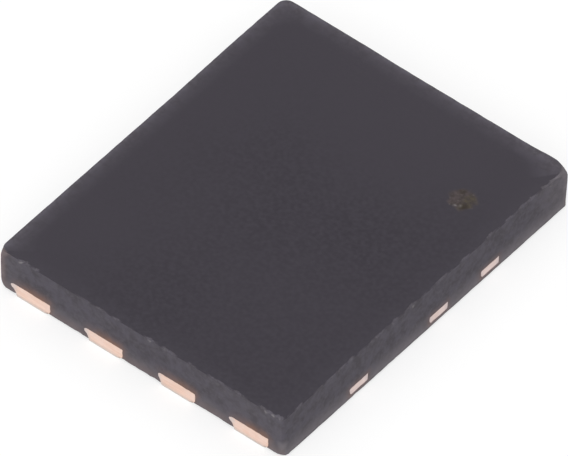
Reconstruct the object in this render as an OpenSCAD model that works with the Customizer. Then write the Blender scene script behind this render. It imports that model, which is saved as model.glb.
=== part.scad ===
// Dual power transistor in a flat leadless package: two silicon switches on an etched copper
// frame, moulded into one black block and sawn apart from its neighbours.
// X runs along the short sides, Y along the long sides and Z up. The origin is the middle of the
// seating plane, which is the underside of the tinned lands.

/* [Moulded body] */
// Width of the body, along a row of lands
body_w = 4.95; // [4.9:0.01:5.2]
// Length of the body, from one row of lands to the other
body_l = 6.02; // [5.95:0.01:6.2]
// Height of the moulding by itself
body_h = 0.73; // [0.7:0.01:0.9]
// Radius on the four upright edges
corner_r = 0.06; // [0.02:0.01:0.12]
// Diameter of the round first-pin mark on the top face
mark_d = 0.46; // [0.3:0.02:0.6]
// Depth to which the laser cut the mark
mark_depth = 0.012; // [0.005:0.001:0.03]
// Middle of the mark, measured in from the long side
mark_from_side = 0.7; // [0.5:0.05:1]
// Middle of the mark, measured in from the short side
mark_from_end = 1.37; // [0.8:0.05:1.6]

/* [Copper frame] */
// Thickness of the copper sheet
frame_t = 0.203; // [0.18:0.001:0.23]
// Depth etched away from below under ledges, posts and tie bars
etch_depth = 0.06; // [0.04:0.005:0.09]
// How far the bare copper stands out of the bottom of the moulding
land_proud = 0.015; // [0.005:0.005:0.03]
// Thickness of the tin on the lands
tin_t = 0.015; // [0.008:0.001:0.025]
// Distance from one land to the next
pitch = 1.27; // [1.2:0.01:1.3]
// Width of a lead at the top face of the sheet
lead_w = 0.62; // [0.56:0.01:0.66]
// Width of the flat underside of a lead
land_w = 0.51; // [0.46:0.01:0.54]
// Length of a land, in from the short side
land_l = 0.6; // [0.5:0.01:0.66]
// How far the etched hook stands out past the top of a lead
hook = 0.055; // [0.04:0.005:0.065]
// Radius of the hollow etched under the hook
hollow_r = 0.16; // [0.15:0.005:0.18]
// Radius of the hollow etched over the hook
upper_hollow_r = 0.055; // [0.05:0.005:0.065]
// Radius on the other lower edge of a lead
foot_r = 0.085; // [0.06:0.005:0.1]
// Reach of the leads into the body, up to the end of their posts
lead_reach = 0.83; // [0.8:0.01:0.9]
// How far a post or bar reaches past the middle of its lead
post_side = 0.38; // [0.34:0.01:0.4]
// Length of the half-etched posts and of the bar that joins the source leads
post_l = 0.45; // [0.35:0.01:0.5]
// Radius on the corners of posts and paddles, seen from above
plan_r = 0.05; // [0.02:0.01:0.08]

/* [Paddles] */
// Distance from a paddle to the long side of the body
side_gap = 0.175; // [0.15:0.005:0.25]
// Distance from a paddle to the leads beside it
lead_gap = 0.2; // [0.15:0.01:0.24]
// Distance between the two paddles
paddle_gap = 0.36; // [0.3:0.01:0.4]
// Middle of the gap between the paddles, from the middle of the body towards the first pin
split_y = 0.8; // [0.7:0.01:0.9]
// Distance from the outer end of the high-side paddle to the short side
drain_end = 0.66; // [0.62:0.01:0.76]
// Width of the half-etched ledge along the inner and outer ends of each paddle
ledge = 0.2; // [0.12:0.01:0.24]
// Width of the half-etched ledge along the long sides of each paddle
ledge_side = 0.13; // [0.09:0.005:0.2]
// Radius on the corners of the exposed pads
pad_r = 0.1; // [0.08:0.01:0.2]

/* [Tie bars] */
// Width of a tie bar
tie_w = 0.38; // [0.3:0.01:0.42]
// How far the top of a tie bar lies below the top of the sheet
tie_drop = 0.018; // [0.005:0.001:0.03]
// Radius on the long edges of a tie bar
tie_r = 0.04; // [0.02:0.005:0.05]
// Middle of the first low-side tie bar, from the source end of its paddle
phase_tie_a = 0.56; // [0.4:0.02:0.8]
// Middle of the second low-side tie bar, from the other end of its paddle
phase_tie_b = 0.35; // [0.24:0.01:0.6]
// Middle of the high-side tie bar, from the inner end of its paddle
drain_tie = 0.38; // [0.24:0.01:0.5]

/* [Dies] */
// Width of the high-side die
die_high_w = 2.3; // [2.2:0.02:2.4]
// Middle of the high-side die, left of the middle of the body
die_high_left = 0.45; // [0.4:0.01:0.5]
// Width of the low-side die
die_low_w = 3.7; // [3.6:0.02:3.8]
// Middle of the low-side die, left of the middle of the body
die_low_left = 0.1; // [0:0.01:0.2]
// Bare rim of a paddle beyond the end of its die
die_rim = 0.13; // [0.08:0.01:0.16]
// Bare copper between the low-side die and the foot of the high-side clip
die_clear = 0.33; // [0.25:0.01:0.4]
// Thickness of both dies
die_t = 0.13; // [0.11:0.005:0.15]
// Thickness of the solderable metal on top of the dies
metal_t = 0.008; // [0.005:0.001:0.012]
// Bare rim of the silicon round its top metal
metal_rim = 0.07; // [0.04:0.01:0.09]
// Side of the square gate pads
gate_pad = 0.2; // [0.16:0.01:0.22]
// Bare silicon between a gate pad and the source metal
gate_moat = 0.06; // [0.03:0.01:0.08]

/* [Joints and clips] */
// Thickness of every solder joint
solder_t = 0.025; // [0.015:0.005:0.03]
// Thickness of the copper clips
clip_t = 0.15; // [0.12:0.005:0.16]
// Width of the high-side clip
clip_high_w = 1.6; // [1.4:0.02:1.66]
// Width of the low-side clip
clip_low_w = 2.6; // [2.4:0.02:2.7]
// Distance from a clip's edges to those of the metal under it
clip_inset = 0.06; // [0.03:0.01:0.08]
// Angle at which a clip steps down to its foot
clip_fall = 40; // [35:1:45]
// Inside radius of a clip's bends
clip_bend_r = 0.06; // [0.03:0.005:0.07]
// Length of the soldered part of a clip's foot
clip_foot_l = 0.34; // [0.28:0.01:0.36]

/* [Gate wires] */
// Diameter of the bond wire
wire_d = 0.05; // [0.04:0.005:0.06]
// Diameter of the squashed ball on the gate pad
ball_d = 0.1; // [0.08:0.005:0.13]
// Height of the squashed ball
ball_h = 0.02; // [0.015:0.005:0.03]
// Straight length of wire over the ball
neck_h = 0.05; // [0.02:0.01:0.08]
// Radius of the bend at the top of the neck
loop_r = 0.08; // [0.06:0.01:0.1]
// Length of the flat stitch that ends a wire
stitch_l = 0.12; // [0.1:0.01:0.14]
// Thickness of the stitch at its tip
stitch_t = 0.015; // [0.01:0.001:0.02]
// Distance of a stitch from the inner corner of its post, both ways
stitch_in = 0.2; // [0.16:0.01:0.24]

/* [Hidden] */
$fn = 48;

// Heights, from the seating plane up
frame_z = tin_t;
mould_z = frame_z + land_proud;
ledge_z = frame_z + etch_depth;
frame_top = frame_z + frame_t;
die_z = frame_top + solder_t;
die_top = die_z + die_t;
metal_top = die_top + metal_t;
plate_z = metal_top + solder_t;
foot_z = frame_top + solder_t;

// Rows of leads: x of the four leads, and y of the row ends
lead_x = [for (i = [0:3]) (i - 1.5) * pitch];
face_y = body_l / 2;
post_y = face_y - lead_reach;

// A lead's flat underside, from the middle of its top
land_right = lead_w / 2 - foot_r;
land_left = land_right - land_w;

// Paddles, as seen from above
paddle_x = body_w / 2 - side_gap;
phase_y0 = -post_y + lead_gap;
phase_y1 = split_y - paddle_gap / 2;
drain_y0 = split_y + paddle_gap / 2;
drain_y1 = face_y - drain_end;
pad_x = paddle_x - ledge_side;
post_x0 = lead_x[3] - post_side;
notch_x = post_x0 - lead_gap;
notch_y = post_y - lead_gap;
bar_x1 = lead_x[2] + post_side;

// Tie bars, by y
phase_ties = [phase_y0 + phase_tie_a, phase_y1 - phase_tie_b];
drain_ties = [drain_y0 + drain_tie];
tie_h = frame_t - etch_depth - tie_drop;

// The foot's soldered stretch, as [y0, y1], at the end of what the foot stands on
high_foot = [phase_y1 - plan_r - clip_foot_l, phase_y1 - plan_r];
low_foot = [-post_y - plan_r - clip_foot_l, -post_y - plan_r];

// Dies, as [x0, x1, y0, y1]
high_die = [
    -die_high_left - die_high_w / 2, -die_high_left + die_high_w / 2,
    drain_y0 + die_rim, drain_y1 - die_rim
];
low_die = [
    -die_low_left - die_low_w / 2, -die_low_left + die_low_w / 2,
    phase_y0 + die_rim, high_foot[0] - die_clear
];

// The gate pads sit in the corner of each die that is nearest to its gate lead
high_pad = [
    high_die[1] - metal_rim - gate_pad, high_die[1] - metal_rim,
    high_die[3] - metal_rim - gate_pad, high_die[3] - metal_rim
];
low_pad = [
    low_die[1] - metal_rim - gate_pad, low_die[1] - metal_rim,
    low_die[2] + metal_rim, low_die[2] + metal_rim + gate_pad
];

// Clips: left edge, y where the plate starts, y where it bends
high_clip = [high_die[0] + metal_rim + clip_inset, high_die[3] - metal_rim - clip_inset, high_die[2]];
low_clip = [low_die[0] + metal_rim + clip_inset, low_die[3] - metal_rim - clip_inset, low_die[2]];
clip_drop = plate_z - foot_z;
clip_slope = (clip_drop - (2 * clip_bend_r + clip_t) * (1 - cos(clip_fall))) / sin(clip_fall);
clip_step = (2 * clip_bend_r + clip_t) * sin(clip_fall) + clip_slope * cos(clip_fall);

// Bond wires: start on the gate pad and end on the post
high_start = [(high_pad[0] + high_pad[1]) / 2, (high_pad[2] + high_pad[3]) / 2];
low_start = [(low_pad[0] + low_pad[1]) / 2, (low_pad[2] + low_pad[3]) / 2];
high_end = [post_x0 + stitch_in, post_y + stitch_in];
low_end = [paddle_x - stitch_in, -post_y - stitch_in];
crest_z = metal_top + ball_h + neck_h + loop_r;

// How far a cutting shape runs past what it cuts
over = 1;

// Rectangle with rounded corners, from its limits in x and y
module round_rect(x0, x1, y0, y1, r) {
    translate([x0 + r, y0]) square([x1 - x0 - 2 * r, y1 - y0]);
    translate([x0, y0 + r]) square([x1 - x0, y1 - y0 - 2 * r]);
    for (x = [x0 + r, x1 - r], y = [y0 + r, y1 - r]) translate([x, y]) circle(r);
}

module plate(limits, z, t, r) {
    translate([0, 0, z]) linear_extrude(t) round_rect(limits[0], limits[1], limits[2], limits[3], r);
}

module block(limits, z, t) {
    translate([limits[0], limits[2], z]) cube([limits[1] - limits[0], limits[3] - limits[2], t]);
}

// Copper that is left after the half etch
module ledge_plate(x0, x1, y0, y1) {
    plate([x0, x1, y0, y1], ledge_z, frame_top - ledge_z, plan_r);
}

// Rim of an exposed pad in section, out from the middle of its corner radius: the half etch
// leaves a quarter-round hollow at the foot of the wall
module pad_rim() {
    difference() {
        square([pad_r + etch_depth, etch_depth]);
        translate([pad_r + etch_depth, 0]) circle(etch_depth);
    }
}

// One side of an exposed pad, from the middle of its corner radius, after the corner itself
module pad_side(x, y, turn, run, corner = true) {
    translate([x, y, frame_z]) rotate(turn) {
        rotate([90, 0, 0]) mirror([0, 0, 1]) linear_extrude(run) pad_rim();
        if (corner) rotate(-90) rotate_extrude(angle = 90) pad_rim();
    }
}

// Full-thickness pad under the low-side paddle, with hollow etched flanks all round
module phase_pad() {
    x = pad_x - pad_r;
    near = phase_y0 + ledge + pad_r;
    far = phase_y1 - ledge - pad_r;
    block([-x, x, near, far], frame_z, etch_depth);
    pad_side(x, near, 0, far - near);
    pad_side(x, far, 90, 2 * x);
    pad_side(-x, far, 180, far - near);
    pad_side(-x, near, -90, 2 * x);
}

// Full-thickness pad under the high-side paddle, stepped back round the post of lead 1
module drain_pad() {
    x = pad_x - pad_r;
    near = drain_y0 + ledge + pad_r;
    far = drain_y1 - ledge - pad_r;
    step_x = notch_x - ledge - pad_r;
    step_y = notch_y - ledge - pad_r;
    block([-x, step_x, near, far], frame_z, etch_depth);
    block([step_x, x, near, step_y], frame_z, etch_depth);
    pad_side(x, near, 0, step_y - near);
    pad_side(x, step_y, 90, x - step_x);
    pad_side(step_x, step_y, 0, far - step_y, corner = false);
    pad_side(step_x, far, 90, step_x + x);
    pad_side(-x, far, 180, far - near);
    pad_side(-x, near, -90, 2 * x);
}

// Section of a lead etched from both faces: a hook on one flank, a rounded foot on the other
module lead_section() {
    difference() {
        translate([-lead_w / 2 - hook, 0]) square([lead_w + hook, frame_t]);
        translate([land_left - hollow_r, 0]) circle(hollow_r);
        translate([-lead_w / 2 - upper_hollow_r, frame_t]) circle(upper_hollow_r);
        translate([land_right, 0]) difference() {
            square(foot_r);
            translate([0, foot_r]) circle(foot_r);
        }
    }
}

// Full-thickness lead between two values of y
module lead(x, y0, y1) {
    translate([x, y1, frame_z]) rotate([90, 0, 0]) linear_extrude(y1 - y0) lead_section();
}

// Underside of a lead, as limits
function land(x, y0, y1) = [x + land_left, x + land_right, y0, y1];

// Tie bar that runs right across the body, so that both cut ends are flush with its sides
module tie_bar(y) {
    translate([-body_w / 2, y, ledge_z]) rotate([90, 0, 90]) linear_extrude(body_w)
        round_rect(-tie_w / 2, tie_w / 2, 0, tie_h, tie_r);
}

module gate_lead(end) {
    y0 = end > 0 ? face_y - land_l : -face_y;
    lead(lead_x[3], y0, y0 + land_l);
    py = end > 0 ? post_y : -post_y - post_l;
    ledge_plate(post_x0, paddle_x, py, py + post_l);
}

module gate_lead_high() {
    color("#d9a083") gate_lead(1);
}

module gate_lead_low() {
    color("#d9a083") gate_lead(-1);
}

module source_lead() {
    color("#d9a083") {
        for (i = [0:2]) lead(lead_x[i], -face_y, -face_y + land_l);
        ledge_plate(-paddle_x, bar_x1, -post_y - post_l, -post_y);
    }
}

module phase_paddle() {
    color("#d9a083") {
        ledge_plate(-paddle_x, paddle_x, phase_y0, phase_y1);
        phase_pad();
        for (y = phase_ties) tie_bar(y);
    }
}

module drain_paddle() {
    color("#d9a083") {
        ledge_plate(-paddle_x, notch_x, drain_y0, drain_y1);
        ledge_plate(-paddle_x, paddle_x, drain_y0, notch_y);
        drain_pad();
        for (i = [0:2]) lead(lead_x[i], drain_y1 - ledge - pad_r, face_y);
        for (y = drain_ties) tie_bar(y);
    }
}

module tin_gate_high() {
    color("#c9c6c0") block(land(lead_x[3], face_y - land_l, face_y), 0, tin_t);
}

module tin_gate_low() {
    color("#c9c6c0") block(land(lead_x[3], -face_y, -face_y + land_l), 0, tin_t);
}

module tin_source() {
    color("#c9c6c0") for (i = [0:2]) block(land(lead_x[i], -face_y, -face_y + land_l), 0, tin_t);
}

module tin_phase() {
    color("#c9c6c0") plate([-pad_x, pad_x, phase_y0 + ledge, phase_y1 - ledge], 0, tin_t, pad_r);
}

module tin_drain() {
    color("#c9c6c0") {
        plate([-pad_x, notch_x - ledge, drain_y0 + ledge, drain_y1 - ledge], 0, tin_t, pad_r);
        plate([-pad_x, pad_x, drain_y0 + ledge, notch_y - ledge], 0, tin_t, pad_r);
        for (i = [0:2]) block(land(lead_x[i], drain_y1 - ledge - pad_r, face_y), 0, tin_t);
    }
}

module die_solder_high() {
    color("#8d8f94") block(high_die, frame_top, solder_t);
}

module die_solder_low() {
    color("#8d8f94") block(low_die, frame_top, solder_t);
}

module die_high() {
    color("#4b5058") block(high_die, die_z, die_t);
}

module die_low() {
    color("#4b5058") block(low_die, die_z, die_t);
}

// Source metal covers the die inside its rim, apart from a moat round the gate pad
module source_metal(die, pad) {
    difference() {
        block([die[0] + metal_rim, die[1] - metal_rim, die[2] + metal_rim, die[3] - metal_rim],
              die_top, metal_t);
        block([pad[0] - gate_moat, pad[1] + gate_moat, pad[2] - gate_moat, pad[3] + gate_moat],
              die_z, die_t + over);
    }
}

module source_metal_high() {
    color("#d8d4c4") source_metal(high_die, high_pad);
}

module source_metal_low() {
    color("#d8d4c4") source_metal(low_die, low_pad);
}

module gate_pad_high() {
    color("#d8d4c4") block(high_pad, die_top, metal_t);
}

module gate_pad_low() {
    color("#d8d4c4") block(low_pad, die_top, metal_t);
}

module clip_solder_high() {
    color("#8d8f94") block([high_clip[0], high_clip[0] + clip_high_w,
                            high_clip[2] + metal_rim, high_clip[1]], metal_top, solder_t);
}

module clip_solder_low() {
    color("#8d8f94") block([low_clip[0], low_clip[0] + clip_low_w,
                            low_clip[2] + metal_rim, low_clip[1]], metal_top, solder_t);
}

module foot_solder_high() {
    color("#8d8f94") block([high_clip[0], high_clip[0] + clip_high_w, high_foot[0], high_foot[1]],
                           frame_top, solder_t);
}

module foot_solder_low() {
    color("#8d8f94") block([low_clip[0], low_clip[0] + clip_low_w, low_foot[0], low_foot[1]],
                           frame_top, solder_t);
}

// Points along an arc, in even steps
function arc(centre, r, a0, a1, steps = 6) =
    [for (i = [0:steps]) let(a = a0 + (a1 - a0) * i / steps) centre + r * [cos(a), sin(a)]];

// Side view of a clip: a flat plate, a step down between two bends, and a flat foot
module clip_profile(plate_l, foot_l) {
    far = plate_l + clip_step;
    high_c = [plate_l, clip_drop - clip_bend_r];
    low_c = [far, clip_t + clip_bend_r];
    polygon(concat(
        [[0, clip_drop], [0, clip_drop + clip_t]],
        arc(high_c, clip_bend_r + clip_t, 90, 90 - clip_fall),
        arc(low_c, clip_bend_r, 270 - clip_fall, 270),
        [[far + foot_l, clip_t], [far + foot_l, 0]],
        arc(low_c, clip_bend_r + clip_t, 270, 270 - clip_fall),
        arc(high_c, clip_bend_r, 90 - clip_fall, 90)
    ));
}

// Clip over limits [left edge, plate start, bend], with a foot that ends at foot_y
module source_clip(limits, w, foot_y) {
    plate_l = limits[1] - limits[2];
    translate([limits[0] + w, limits[1], foot_z]) rotate([90, 0, -90]) linear_extrude(w)
        clip_profile(plate_l, limits[2] - clip_step - foot_y);
}

module source_clip_high() {
    color("#c98a63") source_clip(high_clip, clip_high_w, high_foot[0]);
}

module source_clip_low() {
    color("#c98a63") source_clip(low_clip, clip_low_w, low_foot[0]);
}

// Round wire from a ball on a gate pad: a neck, a quarter turn, then one wide arc down to a stitch.
// The radius of the wide arc comes from its rise and run, to the nearest thousandth.
module gate_wire(from, to) {
    run = norm(to - from) - loop_r;
    drop = crest_z - frame_top - wire_d / 2;
    arc_r = round(1000 * (run * run + drop * drop) / (2 * drop)) / 1000;
    translate([from[0], from[1], 0]) rotate(atan2(to[1] - from[1], to[0] - from[0])) {
        translate([0, 0, metal_top]) cylinder(d = ball_d, h = ball_h);
        translate([0, 0, metal_top]) cylinder(d = wire_d, h = crest_z - loop_r - metal_top);
        translate([loop_r, 0, crest_z - loop_r]) rotate([90, 0, 0]) rotate(90)
            rotate_extrude(angle = 90) translate([loop_r, 0]) circle(d = wire_d);
        translate([loop_r, 0, crest_z - arc_r]) rotate([-90, 0, 0]) rotate(-90)
            rotate_extrude(angle = 2 * atan(drop / run)) translate([arc_r, 0]) circle(d = wire_d);
        translate([loop_r + run - stitch_l / 2, wire_d, frame_top]) rotate([90, 0, 0])
            linear_extrude(2 * wire_d)
                polygon([[0, 0], [0, wire_d], [stitch_l / 2, wire_d], [stitch_l, stitch_t], [stitch_l, 0]]);
    }
}

module gate_wire_high() {
    color("#d9b24c") gate_wire(high_start, high_end);
}

module gate_wire_low() {
    color("#d9b24c") gate_wire(low_start, low_end);
}

// Block of mould compound, cast round everything above and sawn to size
module mould_body() {
    color("#4a474d") difference() {
        plate([-body_w / 2, body_w / 2, -body_l / 2, body_l / 2], mould_z, body_h, corner_r);
        translate([body_w / 2 - mark_from_side, body_l / 2 - mark_from_end, mould_z + body_h - mark_depth])
            cylinder(d = mark_d, h = over);
        gate_lead_high();
        drain_paddle();
        phase_paddle();
        source_lead();
        gate_lead_low();
        die_solder_high();
        die_solder_low();
        die_high();
        die_low();
        source_metal_high();
        source_metal_low();
        gate_pad_high();
        gate_pad_low();
        clip_solder_high();
        clip_solder_low();
        foot_solder_high();
        foot_solder_low();
        source_clip_high();
        source_clip_low();
        gate_wire_high();
        gate_wire_low();
    }
}

mould_body();
gate_lead_high();
drain_paddle();
phase_paddle();
source_lead();
gate_lead_low();
tin_gate_high();
tin_drain();
tin_phase();
tin_source();
tin_gate_low();
die_solder_high();
die_solder_low();
die_high();
die_low();
source_metal_high();
source_metal_low();
gate_pad_high();
gate_pad_low();
clip_solder_high();
clip_solder_low();
foot_solder_high();
foot_solder_low();
source_clip_high();
source_clip_low();
gate_wire_high();
gate_wire_low();
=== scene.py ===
# %% [markdown]
# # A dual power transistor in a flat leadless package
#
# The real object is a black block of moulded epoxy, 5 by 6 mm and three quarters of a millimetre
# high. Copper leads and tie bars end flush in its sawn sides, tinned pads show underneath, and
# nothing moves. The CAD model has the true sizes. This lesson loads it and adds what it leaves
# out: chipped edges, sawn faces, plating with soft rims, and finishes.

# %% Load the CAD model as a fixed frame
import math

import bpy
import numpy as np
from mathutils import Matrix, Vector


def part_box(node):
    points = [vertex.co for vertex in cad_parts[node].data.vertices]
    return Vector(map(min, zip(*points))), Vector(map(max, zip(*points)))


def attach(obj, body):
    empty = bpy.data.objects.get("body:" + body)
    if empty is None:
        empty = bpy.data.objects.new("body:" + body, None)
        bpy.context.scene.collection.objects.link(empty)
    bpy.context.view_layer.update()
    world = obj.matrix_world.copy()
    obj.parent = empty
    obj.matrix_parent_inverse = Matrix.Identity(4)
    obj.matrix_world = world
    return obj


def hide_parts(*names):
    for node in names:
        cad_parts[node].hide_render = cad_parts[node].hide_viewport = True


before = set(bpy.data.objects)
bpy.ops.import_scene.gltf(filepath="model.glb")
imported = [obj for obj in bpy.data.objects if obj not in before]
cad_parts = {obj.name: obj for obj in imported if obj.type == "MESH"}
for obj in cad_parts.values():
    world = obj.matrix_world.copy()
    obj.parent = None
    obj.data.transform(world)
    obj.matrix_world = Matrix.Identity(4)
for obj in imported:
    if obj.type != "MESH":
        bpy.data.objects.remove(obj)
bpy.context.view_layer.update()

# %% [markdown]
# ## The camera
#
# The photograph was taken through a long lens, so opposite edges of the block are nearly
# parallel. The angles come from those edges. A lens this long stands about 28 cm from a part of
# 6 mm. An orthographic camera would be simpler, but would lose the slight taper that shows.

# %% Place the camera
AZIMUTH, ELEVATION, ROLL = (math.radians(a) for a in (39.6729, 47.1478, -0.0897))
DISTANCE, AIM_UP = 0.277077, 0.0002374

across = np.array([math.cos(AZIMUTH), math.sin(AZIMUTH), 0.0])
level = np.array([-math.sin(AZIMUTH), math.cos(AZIMUTH), 0.0])
ahead = level * math.cos(ELEVATION) - np.array([0.0, 0.0, math.sin(ELEVATION)])
upward = np.cross(across, ahead)
picture_right = math.cos(ROLL) * across + math.sin(ROLL) * upward
picture_up = math.cos(ROLL) * upward - math.sin(ROLL) * across


def add_object(name, data):
    """A new object in the scene."""
    thing = bpy.data.objects.new(name, data)
    bpy.context.scene.collection.objects.link(thing)
    return thing


def turn_and_move(thing, x_axis, y_axis, z_axis, place):
    """The object's own axes point that way, and its origin lies at the place."""
    turned = np.eye(4)
    turned[:3] = np.column_stack([x_axis, y_axis, z_axis, place])
    thing.matrix_world = turned.T.tolist()


camera_data = bpy.data.cameras.new("camera")
camera_data.lens, camera_data.sensor_width = 1300, 36
camera_data.clip_start, camera_data.clip_end = 0.01, 10
camera = add_object("camera", camera_data)
eye = AIM_UP * picture_up - DISTANCE * ahead
turn_and_move(camera, picture_right, picture_up, -ahead, eye)
bpy.context.scene.camera = camera
print("camera at", eye.round(4), "metres")

# %% [markdown]
# ## Nodes and colours
#
# A finish is a small network of nodes that ends in one Principled shader. Colours are written as
# they look on a screen, from 0 to 255, and turned into the linear light that Blender counts in.
# Patterns read Object coordinates, so they stay on the piece at a true size in millimetres.

# %% Helpers for nodes


def paint(red, green, blue):
    """Linear colour from screen values: each channel is undone by the screen's gamma curve."""
    screen = np.array([red, green, blue]) / 255
    linear = np.where(screen <= 0.04045, screen / 12.92, ((screen + 0.055) / 1.055) ** 2.4)
    return (*linear.tolist(), 1.0)


def feed(socket, value):
    """Gives a socket a number or colour, or a wire from another node. A socket knows its network,
    so helpers that are given a wire needn't be told where they work."""
    if isinstance(value, bpy.types.NodeSocket):
        socket.id_data.links.new(value, socket)
    else:
        socket.default_value = value


def add_node(network, kind, inputs=()):
    """A node in the network of a finish or of the sky. Its inputs go by name or by number."""
    node = network.nodes.new(kind)
    for name, value in dict(inputs).items():
        feed(node.inputs[name], value)
    return node


def sum_of(operation, first, second):
    """One sum, such as ADD, on a wire and a number or another wire."""
    node = add_node(first.id_data, "ShaderNodeMath", {0: first, 1: second})
    node.operation = operation
    return node.outputs[0]


def product(first, second):
    """A wire times a number or another wire."""
    return sum_of("MULTIPLY", first, second)


def spanned(wire, low, high, to_low=0.0, to_high=1.0):
    """A wire's span from low to high, moved to another span and held inside it."""
    spans = {"Value": wire, "From Min": low, "From Max": high, "To Min": to_low, "To Max": to_high}
    return add_node(wire.id_data, "ShaderNodeMapRange", spans).outputs["Result"]


def mixed(share, first, second):
    """A colour between the first and the second, by a share from 0 to 1."""
    node = add_node(share.id_data, "ShaderNodeMix")
    node.data_type = "RGBA"
    for number, value in ((0, share), (6, first), (7, second)):
        feed(node.inputs[number], value)
    return node.outputs[2]


def own_place(finish):
    """The point's place on the piece, in metres."""
    return add_node(finish.node_tree, "ShaderNodeTexCoord").outputs["Object"]


def grain(finish, size, low=0.0, high=1.0, detail=2.0, stretch=(1, 1, 1), shift=0.0):
    """Smooth random spots of about that size in millimetres. Noise from low to high becomes 0 to
    1, so a narrow span gives hard spots. Stretch makes the spots longer along an axis."""
    layout = {"Location": (shift, 0.7 * shift, 0.3 * shift), "Scale": [1000 / (size * s) for s in stretch]}
    mapping = add_node(finish.node_tree, "ShaderNodeMapping", {"Vector": own_place(finish), **layout})
    settings = {"Vector": mapping.outputs["Vector"], "Scale": 1.0, "Detail": detail}
    return spanned(add_node(finish.node_tree, "ShaderNodeTexNoise", settings).outputs["Fac"], low, high)


def carried(finish, name):
    """A number that the mesh carries at each point."""
    node = add_node(finish.node_tree, "ShaderNodeAttribute")
    node.attribute_name = name
    return node.outputs["Fac"]


def place_in_mm(finish, axis):
    """How far a point lies along an axis of the part, in millimetres."""
    split = add_node(finish.node_tree, "ShaderNodeSeparateXYZ", {0: own_place(finish)})
    return product(split.outputs[axis], 1000.0)


def bumped(height, depth, after=None):
    """A bump as deep as given in micrometres where the height runs from 0 to 1."""
    bump = add_node(height.id_data, "ShaderNodeBump", {"Distance": depth * 1e-6, "Height": height})
    if after is not None:
        feed(bump.inputs["Normal"], after)
    return bump.outputs["Normal"]


def coat(finish, inputs):
    """Sets or wires inputs of the finish's one Principled shader."""
    for name, value in inputs.items():
        feed(finish.node_tree.nodes["Principled BSDF"].inputs[name], value)


def new_finish(name, metallic, roughness, specular=0.5):
    """A material. Numbers that are even all over sit on its shader's sockets."""
    finish = bpy.data.materials.new(name)
    finish.use_nodes = True
    coat(finish, {"Metallic": metallic, "Roughness": roughness, "Specular IOR Level": specular})
    return finish


# %% [markdown]
# ## Light, floor and background
#
# A white studio tent lights the part from all sides. The world stands for the tent. A large soft
# lamp over the camera's left shoulder, and a weaker one low beside it, give the faces a little
# difference. Together they add up to about 1 on a face that looks up, so a colour renders as it
# is written. Only camera rays, mirror rays and rays through glass see plain white in place of
# the tent's level.

# %% Light the tent
TENT_LEVEL = 0.70


def seen_directly(network):
    """1 for camera rays, mirror rays and rays through glass, else 0."""
    path = add_node(network, "ShaderNodeLightPath").outputs
    camera_or_mirror = sum_of("MAXIMUM", path["Is Camera Ray"], path["Is Glossy Ray"])
    return sum_of("MAXIMUM", camera_or_mirror, path["Is Transmission Ray"])


world = bpy.data.worlds.new("studio")
world.use_nodes = True
bpy.context.scene.world = world
sky = world.node_tree
sky.nodes.clear()
tent, white = (
    add_node(sky, "ShaderNodeBackground", {"Color": paint(255, 255, 255), "Strength": strength}).outputs[0]
    for strength in (TENT_LEVEL, 1.0)
)
either = add_node(sky, "ShaderNodeMixShader", {0: seen_directly(sky), 1: tent, 2: white})
add_node(sky, "ShaderNodeOutputWorld", {"Surface": either.outputs[0]})


def soft_lamp(name, azimuth, elevation, distance, size, power):
    """A square lamp that faces the part. Azimuth 0 is in front of it, at -Y, and 90 at +X."""
    a, e = math.radians(azimuth), math.radians(elevation)
    back = np.array([math.sin(a) * math.cos(e), -math.cos(a) * math.cos(e), math.sin(e)])
    side = np.array([math.cos(a), math.sin(a), 0.0])
    data = bpy.data.lights.new(name, "AREA")
    data.shape, data.size, data.energy = "SQUARE", size, power
    turn_and_move(add_object(name, data), side, np.cross(back, side), back, back * distance)


soft_lamp("key", azimuth=29, elevation=52, distance=0.6, size=0.5, power=1.17)
soft_lamp("low_fill", azimuth=33, elevation=12, distance=0.6, size=0.4, power=0.62)
bpy.context.scene.view_settings.view_transform = "Standard"

# %% [markdown]
# The floor is grey paper that also glows a little towards the camera, so that it looks white
# there and still takes the part's soft shadow. It lies two thousandths of a millimetre low, clear
# of the tin.

# %% Lay the floor
REACH, SUNK = 0.6, -2e-6
FLOOR_GREY, FLOOR_GLOW = 0.45, 0.61
floor_mesh = bpy.data.meshes.new("floor")
corners = [(x * REACH, y * REACH, SUNK) for x, y in ((-1, -1), (1, -1), (1, 1), (-1, 1))]
floor_mesh.from_pydata(corners, [], [(0, 1, 2, 3)])
floor = add_object("floor", floor_mesh)

paper = bpy.data.materials.new("floor_paper")
paper.use_nodes = True
pulp = paper.node_tree
pulp.nodes.clear()
matt = add_node(pulp, "ShaderNodeBsdfDiffuse", {"Color": (FLOOR_GREY, FLOOR_GREY, FLOOR_GREY, 1)})
glow = add_node(pulp, "ShaderNodeEmission", {"Strength": product(seen_directly(pulp), FLOOR_GLOW)})
both = add_node(pulp, "ShaderNodeAddShader", {0: matt.outputs[0], 1: glow.outputs[0]})
add_node(pulp, "ShaderNodeOutputMaterial", {"Surface": both.outputs[0]})
floor_mesh.materials.append(paper)
print("floor level", FLOOR_GREY + FLOOR_GLOW)

# %% [markdown]
# ## Making a mesh from arrays
#
# Every new piece is worked out with numpy in millimetres: rings of points, and the faces between
# them from the numbers of their rows and columns. The mesh gets its points in metres.

# %% Helpers for meshes
MM = 0.001


def bands(rows, columns, first=0, turn=1):
    """Quads between rings that each close on themselves: point (r, c) joins (r, c + 1),
    (r + 1, c + 1) and (r + 1, c). A turn of -1 makes them look the other way."""
    r, c = np.meshgrid(np.arange(rows - 1), np.arange(columns), indexing="ij")
    here, above, after = r * columns, (r + 1) * columns, (c + 1) % columns
    quads = np.stack([here + c, here + after, above + after, above + c], -1)
    return (quads.reshape(-1, 4)[:, ::turn] + first).tolist()


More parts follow.
